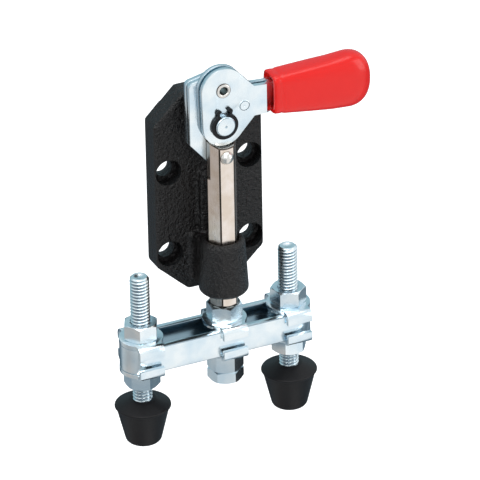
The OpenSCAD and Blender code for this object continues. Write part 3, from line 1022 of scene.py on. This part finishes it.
base = cast_base()
base.data.set_sharp_from_angle(angle=math.radians(40))
place_piece(base, casting_paint, "base", "base_casting")
for face_name in ("front", "rear"):
    plate = copy_of_node("trimmed_link_" + face_name, "link_plate_" + face_name)
    boolean(plate, "DIFFERENCE", [link_trim()])
    place_piece(plate, zinc, "link", "link_plate_" + face_name)
    crisp(plate, 0.25, edge_zinc_painted_shade)
clip = copy_of_node("hooked_retaining_clip", "retaining_clip")
boolean(clip, "DIFFERENCE", clip_trims())
place_piece(clip, black_oxide, "base", "retaining_clip")
crisp(clip, 0.15, black_oxide)
pin_middle = centre_of("pivot_pin") / MM
pin_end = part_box("pivot_pin")[0].y / MM
pin = copy_of_node("marked_pivot_pin", "pivot_pin")
boolean(pin, "DIFFERENCE",
        [round_bar("mark", pin_middle.x, pin_middle.z, 0.8, pin_end - 1, pin_end + 0.5)])
place_piece(pin, zinc, "base", "pivot_pin")
crisp(pin, 0.15, edge_zinc_painted_shade)
print("cast skin faces:", len(base.data.polygons))

# %% [markdown]
# ## Floor, background and light
#
# The photograph is cut out on white. The floor and the world look white
# to the camera, and to rays that metal reflects, while the lamps stay
# at a plain level. The floor keeps a faint shadow under the feet.

# %% Floor and world
# the plunger lowers the feet by 30 mm to clamp, so the floor lies below that
FLOOR_Z = START_BOX[0].z - 30.5 * MM


def make_floor():
    mesh = bpy.data.meshes.new("floor")
    size = 3.0
    mesh.from_pydata([(-size, -size, FLOOR_Z), (size, -size, FLOOR_Z),
                      (size, size, FLOOR_Z), (-size, size, FLOOR_Z)], [], [(0, 1, 2, 3)])
    floor = bpy.data.objects.new("floor", mesh)
    bpy.context.collection.objects.link(floor)
    made, tree, shader, place = new_material("white_floor", "#f4f4f4", 0.0, 0.9)
    shader.inputs["Emission Color"].default_value = linear("#ffffff")
    path = add(tree, "ShaderNodeLightPath")
    glow = add(tree, "ShaderNodeMath", {"operation": "MULTIPLY", 1: 0.55},
               {0: path.outputs["Is Camera Ray"]}).outputs[0]
    tree.links.new(glow, shader.inputs["Emission Strength"])
    mesh.materials.append(made)
    floor.visible_glossy = False
    return floor


STUDIO_RING = [(-180, "#b9b4b1"), (-152, "#b2b8bc"), (-141, "#b6bcc0"), (-133, "#a4abb0"),
               (-119, "#a4abb0"), (-110, "#d0d5d8"), (-98, "#ffffff"), (-42, "#ffffff"),
               (-26, "#9aa6ad"), (-12, "#6f7f88"), (8, "#62737d"), (26, "#8896a0"),
               (46, "#6d8390"), (60, "#142b38"), (88, "#1c3442"), (104, "#5f7582"),
               (118, "#93a0a9"), (132, "#c4c8ca"), (150, "#c4c3c1"), (166, "#b9b4b1")]


def ring_colour(tree):
    """What metal sees below the horizon: white, with soft dark cards between."""
    toward = add(tree, "ShaderNodeTexCoord").outputs["Generated"]
    parts = add(tree, "ShaderNodeSeparateXYZ", {}, {"Vector": toward}).outputs
    angle = add(tree, "ShaderNodeMath", {"operation": "ARCTAN2"}, {0: parts["Y"], 1: parts["X"]})
    turn_part = add(tree, "ShaderNodeMapRange", {"From Min": -math.pi, "From Max": math.pi},
                    {"Value": angle.outputs[0]})
    ramp = add(tree, "ShaderNodeValToRGB", links={"Fac": turn_part.outputs["Result"]})
    stops = ramp.color_ramp.elements
    while len(stops) < len(STUDIO_RING):
        stops.new(0.5)
    for stop, (degrees, colour) in zip(stops, STUDIO_RING):
        stop.position = (degrees + 180) / 360
        stop.color = linear(colour)
    rise = add(tree, "ShaderNodeMapRange", {"From Min": -0.22, "From Max": 0.12,
                                            "interpolation_type": "SMOOTHSTEP"},
               {"Value": parts["Z"]}).outputs["Result"]
    behind = add(tree, "ShaderNodeMapRange", {"From Min": 0.3, "From Max": 0.75,
                                              "interpolation_type": "SMOOTHSTEP"},
                 {"Value": parts["Y"]}).outputs["Result"]
    low_sky = add(tree, "ShaderNodeMapRange", {"From Min": 0.85, "From Max": 0.6,
                                               "interpolation_type": "SMOOTHSTEP"},
                  {"Value": parts["Z"]}).outputs["Result"]
    card = add(tree, "ShaderNodeMath", {"operation": "MULTIPLY"}, {0: behind, 1: low_sky}).outputs[0]
    sky = add(tree, "ShaderNodeMixRGB", {"Color1": linear("#f4f8fa"), "Color2": linear("#9fbcc5")},
              {"Fac": card}).outputs["Color"]
    return add(tree, "ShaderNodeMixRGB", links={"Fac": rise, "Color1": ramp.outputs["Color"],
                                                "Color2": sky}).outputs["Color"]


def make_world():
    world = bpy.data.worlds.new("studio")
    bpy.context.scene.world = world
    world.use_nodes = True
    tree = world.node_tree
    tree.nodes.clear()
    path = add(tree, "ShaderNodeLightPath")
    seen = add(tree, "ShaderNodeMath", {"operation": "MAXIMUM"},
               {0: path.outputs["Is Camera Ray"], 1: path.outputs["Is Transmission Ray"]}).outputs[0]
    soft = add(tree, "ShaderNodeBackground", {"Color": linear("#e8eef2"), "Strength": 0.62})
    ring = add(tree, "ShaderNodeBackground", {"Strength": 1.05}, {"Color": ring_colour(tree)})
    white = add(tree, "ShaderNodeBackground", {"Color": linear("#ffffff"), "Strength": 1.0})
    shiny = add(tree, "ShaderNodeMixShader", {},
                {0: path.outputs["Is Glossy Ray"], 1: soft.outputs[0], 2: ring.outputs[0]})
    mix = add(tree, "ShaderNodeMixShader", {}, {0: seen, 1: shiny.outputs[0], 2: white.outputs[0]})
    add(tree, "ShaderNodeOutputWorld", {}, {"Surface": mix.outputs[0]})


make_floor()
make_world()
print("floor at", round(FLOOR_Z / MM, 2), "mm")

# %% Lamps


def soft_lamp(name, place, aim_at, size, power):
    data = bpy.data.lights.new(name, "AREA")
    data.shape = "RECTANGLE"
    data.size, data.size_y = size
    data.energy = power
    lamp = bpy.data.objects.new(name, data)
    bpy.context.collection.objects.link(lamp)
    lamp.location = Vector(place)
    lamp.rotation_euler = (Vector(aim_at) - Vector(place)).to_track_quat("-Z", "Y").to_euler()
    return lamp


soft_lamp("key_lamp", (-0.55, -0.75, 0.75), (0, 0, -0.01), (0.6, 0.6), 5.0)
soft_lamp("fill_lamp", (0.8, -0.6, 0.25), (0, 0, -0.01), (0.5, 0.8), 2.5)
soft_lamp("top_lamp", (0.05, -0.05, 0.9), (0, 0, 0), (0.7, 0.7), 3.0)
bpy.context.scene.view_settings.view_transform = "Standard"
print("three soft lamps")
